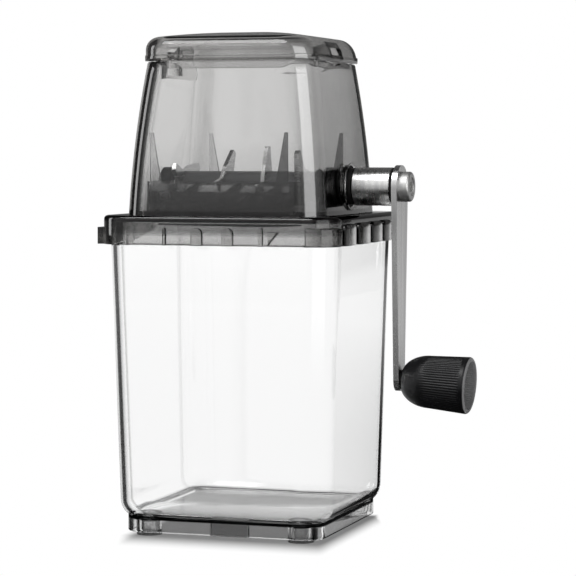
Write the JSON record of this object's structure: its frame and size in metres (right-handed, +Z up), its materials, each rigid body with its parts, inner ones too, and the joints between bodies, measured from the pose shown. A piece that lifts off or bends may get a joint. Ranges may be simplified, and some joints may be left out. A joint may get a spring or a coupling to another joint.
{
  "type": "hand cranked ice crusher",
  "caption": "Countertop ice crusher: clear square container under a smoked hopper with a hinged lid, toothed rotor, steel side crank and spinning black knob.",
  "frame": {"origin": "middle of the four feet, on the surface they stand on", "axes": "+Z up, +X towards the crank, the front faces -Y"},
  "size_m": [0.1778, 0.1264, 0.2506],
  "materials": {
    "clear_plastic": "clear, glossy",
    "smoked_plastic": "smoked clear, glossy",
    "dark_smoked_plastic": "dark smoked, glossy",
    "black_plastic": "black, satin gloss",
    "grey_plastic": "satin",
    "black_rubber": "matt",
    "soft_pad": "translucent soft pad",
    "brushed_steel": "brushed",
    "bright_steel": "polished",
    "blade_steel": "stamped"
  },
  "bodies": {
    "container": {"container": "clear_plastic", "foot_pad_front_left": "soft_pad", "foot_pad_front_right": "soft_pad", "foot_pad_rear_left": "soft_pad", "foot_pad_rear_right": "soft_pad"},
    "head": {"collar": "smoked_plastic", "collar_screws": "bright_steel", "hopper": "smoked_plastic", "chamber": "dark_smoked_plastic", "front_comb": "blade_steel", "rear_comb": "blade_steel", "comb_screws": "bright_steel", "drive_bush": "black_plastic", "blind_bush": "black_plastic", "shaft_seal": "black_rubber"},
    "crank": {"rotor_shaft": "bright_steel", "rotor_blade_1": "blade_steel", "rotor_blade_2": "blade_steel", "rotor_blade_3": "blade_steel", "rotor_blade_4": "blade_steel", "blade_spacer_1": "grey_plastic", "blade_spacer_2": "grey_plastic", "blade_spacer_3": "grey_plastic", "blade_spacer_4": "grey_plastic", "blade_spacer_5": "grey_plastic", "shaft_clip": "bright_steel", "shaft_sleeve": "brushed_steel", "sleeve_grub_screw": "bright_steel", "crank_washer": "black_rubber", "crank_arm": "brushed_steel", "crank_bolt": "bright_steel", "knob_axle": "bright_steel", "knob_washer": "black_plastic"},
    "knob": {"knob": "black_plastic"},
    "lid": {"lid": "smoked_plastic", "hinge_pin": "bright_steel"}
  },
  "joints": [
    {"name": "head_lift", "type": "slide", "parent": "container", "child": "head", "axis": [0, 0, 1], "range_m": [0, 0.08]},
    {"name": "crank_turn", "type": "hinge", "parent": "head", "child": "crank", "pos_m": [0, 0, 0.1732], "axis": [1, 0, 0], "continuous": true},
    {"name": "knob_spin", "type": "hinge", "parent": "crank", "child": "knob", "pos_m": [0.0784, 0, 0.077], "axis": [0.998, 0, -0.0628], "continuous": true},
    {"name": "lid_hinge", "type": "hinge", "parent": "head", "child": "lid", "pos_m": [-0.0426, 0, 0.239], "axis": [0, -1, 0], "range_deg": [0, 105]}
  ]
}
